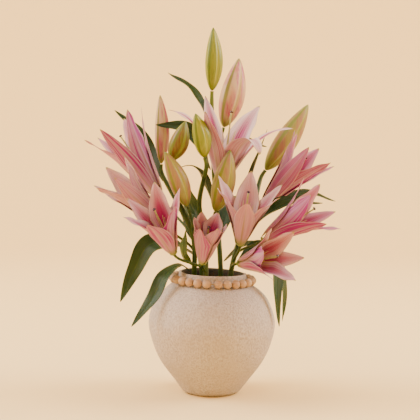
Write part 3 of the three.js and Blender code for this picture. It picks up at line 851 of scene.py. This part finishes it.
def buildBud(name, bud, paint):
    # radius * (1 + lobes) * sin(pi s^0.85)^0.75 round the axis, with three lobes, a fine shallow dip
    # along the rib of each, and deeper furrows between them
    f = budFacts
    base, tip = aboveRim(bud["base"]), aboveRim(bud["tip"])
    length = np.linalg.norm(tip - base) / mm
    s = np.linspace(0.006, 0.996, f["rows"])[:, None]
    a = fullTurn(f["columns"])
    wide = np.sin(math.pi * s**0.85) ** 0.75
    thirds = a * 3 / (2 * math.pi)
    cuts = budCut(thirds, f["furrow"]) + budCut(thirds + 0.5, f["rib"])
    r = bud["radius"] * wide * (1 + f["lobe"] * (np.cos(3 * a) - 1) - cuts * wide**0.5)
    rings = upright(r, length * s, a + f["twist"] * s)
    rings[..., 0] += f["bow"] * np.sin(math.pi * s)
    lobe = 0.5 + 0.5 * np.cos(3 * a)
    piece = ringMesh(f"{name}_body", placed(rings, turnTo(tip - base, 0), base), lobe)
    settle(piece, paint, bud["slot"], name)


budPaints = {
    "green": budPaint(
        "greenBud", rib=(0.075, 0.11, 0.006), panel=(0.20, 0.225, 0.012), blush=(0.15, 0.18, 0.010),
        seam=(0.30, 0.31, 0.035),
    ),
    "brownGreen": budPaint(
        "brownGreenBud", rib=(0.10, 0.13, 0.01), panel=(0.12, 0.14, 0.01), blush=(0.15, 0.065, 0.02),
        seam=(0.20, 0.22, 0.025),
    ),
    "blushGreen": budPaint(
        "blushGreenBud", rib=(0.15, 0.18, 0.012), panel=(0.25, 0.22, 0.05), blush=(0.28, 0.135, 0.08),
        seam=(0.30, 0.29, 0.05),
    ),
    "pink": budPaint(
        "pinkBud", rib=(0.17, 0.17, 0.02), panel=(0.52, 0.35, 0.22), blush=(0.40, 0.075, 0.13),
        seam=(0.50, 0.38, 0.16),
    ),
}
for bud, facts in buds.items():
    buildBud(bud, facts, budPaints[facts["tint"]])
print("buds built:", len(buds))


# each stem: the side of the neck it stands on, the points it passes over the rim, the head it ends in,
# and the heights at which the stalks of other heads leave it
stems = {
    "left_stem": {
        "angle": 196, "points": [(-31, -20, 50), (-52, -24, 100)], "top": "left_bud",
        "stalks": {"low_left_bud": 42, "left_lily": 20, "upper_left_lily": 36},
    },
    "back_left_stem": {
        "angle": 124, "points": [(-34, 42, 60), (-66, 64, 110)], "top": "back_left_bud", "stalks": {},
    },
    "front_stem": {
        "angle": 250, "points": [(-12, -14, 40), (-22, -10, 100)], "top": "slim_bud",
        "stalks": {"middle_bud": 46, "front_lily": -10, "front_left_lily": -8},
    },
    "back_stem": {
        "angle": 64, "points": [(8, 40, 60), (2, 52, 130), (-2, 62, 200)], "top": "top_bud",
        "stalks": {"top_lily": 62, "striped_bud": 110},
    },
    "right_stem": {
        "angle": 340, "points": [(42, 2, 44), (64, 34, 92)], "top": "right_bud",
        "stalks": {"lower_right_lily": -8, "middle_lily": 4, "right_lily": 14, "upper_right_lily": 44},
    },
}

stemFacts = {"radius": 4, "stalk": 2.1, "ring": 30, "floor": 8, "gap": 0.35, "ridge": 0.02}


def headOf(name):
    # where a flower or bud sits, and the direction it points in
    head = lilies.get(name) or buds[name]
    seat = aboveRim(head["base"])
    return seat, unit(aboveRim(head.get("aim") or head["tip"]) - seat)


def stemLine(stem):
    # from the vase's floor up its wall to the neck, then through its points to the head it carries
    f = stemFacts
    angle = stem["angle"] * degree
    inNeck = lambda r, z: np.array([r * mm * math.cos(angle), r * mm * math.sin(angle), z])
    seat, axis = headOf(stem["top"])
    points = [
        inNeck(0.8 * f["ring"], (f["floor"] + 2) * mm), inNeck(f["ring"], 0.6 * rimHeight),
        inNeck(f["ring"], rimHeight - 5 * mm), *map(aboveRim, stem["points"]),
        seat - 12 * mm * axis, seat - f["gap"] * mm * axis,
    ]
    return throughPoints(points, 220)


def stemAt(line, height):
    # the place and direction of a stem at a height over the rim
    level = rimHeight + bouquetRise + height * mm
    i = int(np.argmax(line[:, 2] >= level))
    share = (level - line[i - 1, 2]) / (line[i, 2] - line[i - 1, 2])
    return line[i - 1] + share * (line[i] - line[i - 1]), unit(line[i] - line[i - 1])


def buildStem(name, stem, paint):
    # the stem thins towards its head, and each stalk first runs along the stem
    f = stemFacts
    line = stemLine(stem)
    t = np.linspace(0, 1, len(line))
    radius = f["radius"] * mm * (1 - 0.3 * smooth(t, 0.6, 1) + 0.12 * smooth(t, 0.97, 1))
    settle(ringMesh(f"{name}_main", rodRings(line, radius, 18, f["ridge"])), paint, "stem", name)
    t = np.linspace(0, 1, 48)
    radius = f["stalk"] * mm * (1 + 0.25 * (1 - smooth(t, 0, 0.12)) + 0.2 * smooth(t, 0.9, 1))
    for head, height in stem["stalks"].items():
        start, direction = stemAt(line, height)
        seat, axis = headOf(head)
        reach = np.linalg.norm(seat - start)
        leaving, arriving = start + 0.3 * reach * direction, seat - 0.35 * reach * axis
        stalk = cubicAt(start, leaving, arriving, seat - f["gap"] * mm * axis, t)
        settle(ringMesh(f"{name}_to_{head}", rodRings(stalk, radius, 14, f["ridge"])), paint, "stem", name)


stemGreen = stemPaint()
for stem, facts in stems.items():
    buildStem(stem, facts, stemGreen)
print("stems built:", len(stems))


# each leaf: the stem it grows on, from which height over the rim, the points it passes, half width,
# and the twist that turns its face, degrees
leaves = {
    "top_thin_leaf": {
        "stem": "back_stem", "from": 225,
        "points": [(-32, 78, 277), (-76, 76, 306)], "width": 7, "twist": -30,
    },
    "high_left_leaf": {
        "stem": "back_left_stem", "from": 130,
        "points": [(-118, 92, 203), (-163, 98, 244)], "width": 11, "twist": -40,
    },
    "hidden_left_leaf": {
        "stem": "back_stem", "from": 150,
        "points": [(-40, 62, 215), (-94, 56, 222)], "width": 12, "twist": -80,
    },
    "broad_left_leaf": {
        "stem": "back_left_stem", "from": 14,
        "points": [(-62, 14, 34), (-100, 4, 34), (-123, -4, -4), (-145, -10, -56)],
        "width": 17, "twist": -70,
    },
    "low_left_leaf": {
        "stem": "left_stem", "from": -6,
        "points": [(-50, -20, 5), (-75, -37, -11), (-92, -50, -42), (-124, -68, -85)],
        "width": 12, "twist": -45,
    },
    "low_right_leaf": {
        "stem": "right_stem", "from": 8,
        "points": [(72, 8, 34), (100, 0, 16), (101, -24, -36), (105, -36, -88)],
        "width": 13, "twist": 75,
    },
    "back_right_leaf": {
        "stem": "back_stem", "from": 5,
        "points": [(56, 40, 32), (98, 34, 14), (115, 22, -36), (112, 10, -88)],
        "width": 13, "twist": 45,
    },
    "right_leaf": {
        "stem": "right_stem", "from": 70,
        "points": [(112, 34, 104), (152, 34, 116), (195, 26, 104)], "width": 11, "twist": 35,
    },
    "short_right_leaf": {
        "stem": "right_stem", "from": 56,
        "points": [(110, 60, 96), (178, 62, 98)], "width": 11, "twist": 30,
    },
    "pale_leaf": {
        "stem": "front_stem", "from": 76,
        "points": [(-38, 6, 106), (-46, 10, 138)], "width": 12, "twist": -75,
    },
    "dark_middle_leaf": {
        "stem": "right_stem", "from": 30,
        "points": [(44, -16, 90), (62, 0, 156), (84, 18, 218)], "width": 14, "twist": 75,
    },
    "dark_right_leaf": {
        "stem": "right_stem", "from": 56,
        "points": [(76, -7, 86), (104, -18, 106), (138, -24, 114)], "width": 11, "twist": 70,
    },
    "arching_leaf": {
        "stem": "back_stem", "from": 96,
        "points": [(-18, 24, 146), (-36, 8, 160), (-56, 2, 156)], "width": 9, "twist": 0,
    },
    "rim_leaf": {
        "stem": "left_stem", "from": 4,
        "points": [(-46, -28, 24), (-42, -34, 62)], "width": 9, "twist": 0,
    },
    "high_right_leaf": {
        "stem": "back_stem", "from": 170,
        "points": [(46, 74, 196), (86, 70, 188)], "width": 12, "twist": 30,
    },
    "back_leaf": {
        "stem": "back_stem", "from": 44,
        "points": [(30, 84, 96), (50, 128, 104)], "width": 14, "twist": 0,
    },
    "back_left_leaf": {
        "stem": "back_left_stem", "from": 34,
        "points": [(-48, 84, 84), (-72, 128, 82)], "width": 14, "twist": 0,
    },
}


leafFacts = {
    "rows": 90, "columns": 40, "rollover": 34, "thickness": 0.7, "fold": 0.10, "rib": 0.5, "wave": 1.1,
}


def buildLeaf(name, leaf, paint):
    # the line from the stem through the leaf's points; half width * sin(pi s^0.75)^0.8; the face is
    # turned about the line by the twist, folded along the rib and gently waved at its edges
    f = leafFacts
    start, _ = stemAt(stemLine(stems[leaf["stem"]]), leaf["from"])
    path = [aboveRim(p) for p in leaf["points"]]
    away = unit((path[0] - start) * [1, 1, 0])
    spring = start + away * (stemFacts["radius"] + 2 * stemFacts["gap"] + 1) * mm
    middle = evenly(throughPoints([spring, *path], 400), f["rows"] - 1)
    along = unit(np.gradient(middle, axis=0))
    s = np.linspace(0, 1, f["rows"])
    level = unit(np.cross(upAxis, away))
    side = unit(level - along * (along @ level)[:, None])
    turned = (leaf["twist"] * degree * smooth(s, 0, 0.6))[:, None]
    side = side * np.cos(turned) + np.cross(along, side) * np.sin(turned)
    s = 0.004 + 0.992 * s
    halfWidth = leaf["width"] * mm * np.sin(math.pi * s**0.75) ** 0.8
    thickness = f["thickness"] * mm * np.minimum(1, halfWidth / (2 * mm))
    phase = rng.uniform(0, 6.28)

    def lift(q):
        fold = f["fold"] * halfWidth[:, None] * (np.abs(q) - 0.5)
        rib = f["rib"] * mm * np.exp(-((q / 0.06) ** 2))
        swing = np.sin(2 * math.pi * 2.2 * s[:, None] + 0.9 * np.sign(q) + phase)
        wave = f["wave"] * mm * np.abs(q) ** 3 * swing
        return (fold - rib + wave) * np.minimum(1, halfWidth / (4 * mm))[:, None]

    bend = np.full(f["rows"], f["rollover"] * mm)
    rings, across, over = lensRings(
        middle, side, np.cross(along, side), halfWidth, bend, thickness, f["columns"], lift,
    )
    settle(ringMesh(f"{name}_blade", rings, across, over), paint, "leaf", name)


leafPaints = {
    "dark": leafPaint("darkLeaf", (0.006, 0.020, 0.003), (0.022, 0.060, 0.009)),
    "fresh": leafPaint("freshLeaf", (0.022, 0.05, 0.006), (0.075, 0.12, 0.02)),
}
freshLeaves = ("pale_leaf", "rim_leaf")
for leaf, facts in leaves.items():
    buildLeaf(leaf, facts, leafPaints["fresh" if leaf in freshLeaves else "dark"])
print("leaves built:", len(leaves))


studioFacts = {"flat": 1.9, "corner": 1.3, "height": 3.4, "turns": 96}


def buildStudio():
    # one seamless round surface: a flat floor that turns up into a wall all round
    f = studioFacts
    a = np.linspace(0, math.pi / 2, 24)
    curve = zip(f["flat"] + f["corner"] * np.sin(a), f["corner"] - f["corner"] * np.cos(a))
    profile = [(0.01, 0), (0.9, 0), (f["flat"], 0), *curve, (f["flat"] + f["corner"], f["height"])]
    profile = np.array(profile)
    rings = upright(profile[:, :1], profile[:, 1:], fullTurn(f["turns"]))
    rows, cols = rings.shape[:2]
    mesh = bpy.data.meshes.new("studio_floor")
    faces = ringQuads(rows, cols)[:, ::-1].tolist() + [list(range(cols))]
    mesh.from_pydata(rings.reshape(-1, 3), [], faces)
    mesh.shade_smooth()
    floor = linked("studio_floor", mesh)
    p = Paint("studioCream", Roughness=0.95)
    floor.data.materials.append(p.color(rgb(0.90, 0.66, 0.30)))


def areaLight(name, place, target, size, power, tint):
    light = bpy.data.lights.new(name, "AREA")
    light.shape = "DISK"
    light.size, light.energy, light.color = size, power, tint
    obj = linked(name, light)
    obj.location = place
    obj.rotation_euler = (Vector(target) - Vector(place)).to_track_quat("-Z", "Y").to_euler()


cameraFacts = {
    "place": (-0.0071, -2.1, 0.477), "down": 0.0887, "roll": -0.011, "lens": 114.74, "sensor": 36,
}


def buildCamera():
    # the view: a little above the bouquet's middle, looking slightly down
    f = cameraFacts
    camera = bpy.data.cameras.new("camera")
    camera.sensor_width = camera.sensor_height = f["sensor"]
    camera.lens = f["lens"]
    obj = linked("camera", camera)
    obj.location = f["place"]
    obj.rotation_euler = (math.pi / 2 - f["down"], f["roll"], 0)
    bpy.context.scene.camera = obj


buildStudio()
middleOfAll = (0, 0, 0.3)
warmWhite = (1.0, 0.97, 0.93)
areaLight("leftLight", (-2.2, 0.0, 1.8), middleOfAll, 2.0, 112, warmWhite)
areaLight("rightLight", (2.2, 0.1, 1.6), middleOfAll, 1.8, 92, warmWhite)
areaLight("frontLight", (-0.5, -1.7, 2.4), middleOfAll, 1.4, 20, (0.90, 0.93, 1.0))
areaLight("wallLight", (0.0, 0.5, 2.9), (0.0, 3.1, 0.9), 1.6, 105, (1.0, 0.85, 0.56))
world = bpy.data.worlds.new("softSky")
world.use_nodes = True
sky = world.node_tree.nodes["Background"]
sky.inputs["Color"].default_value = rgb(0.97, 0.95, 0.95)
sky.inputs["Strength"].default_value = 0.5
bpy.context.scene.world = world
buildCamera()
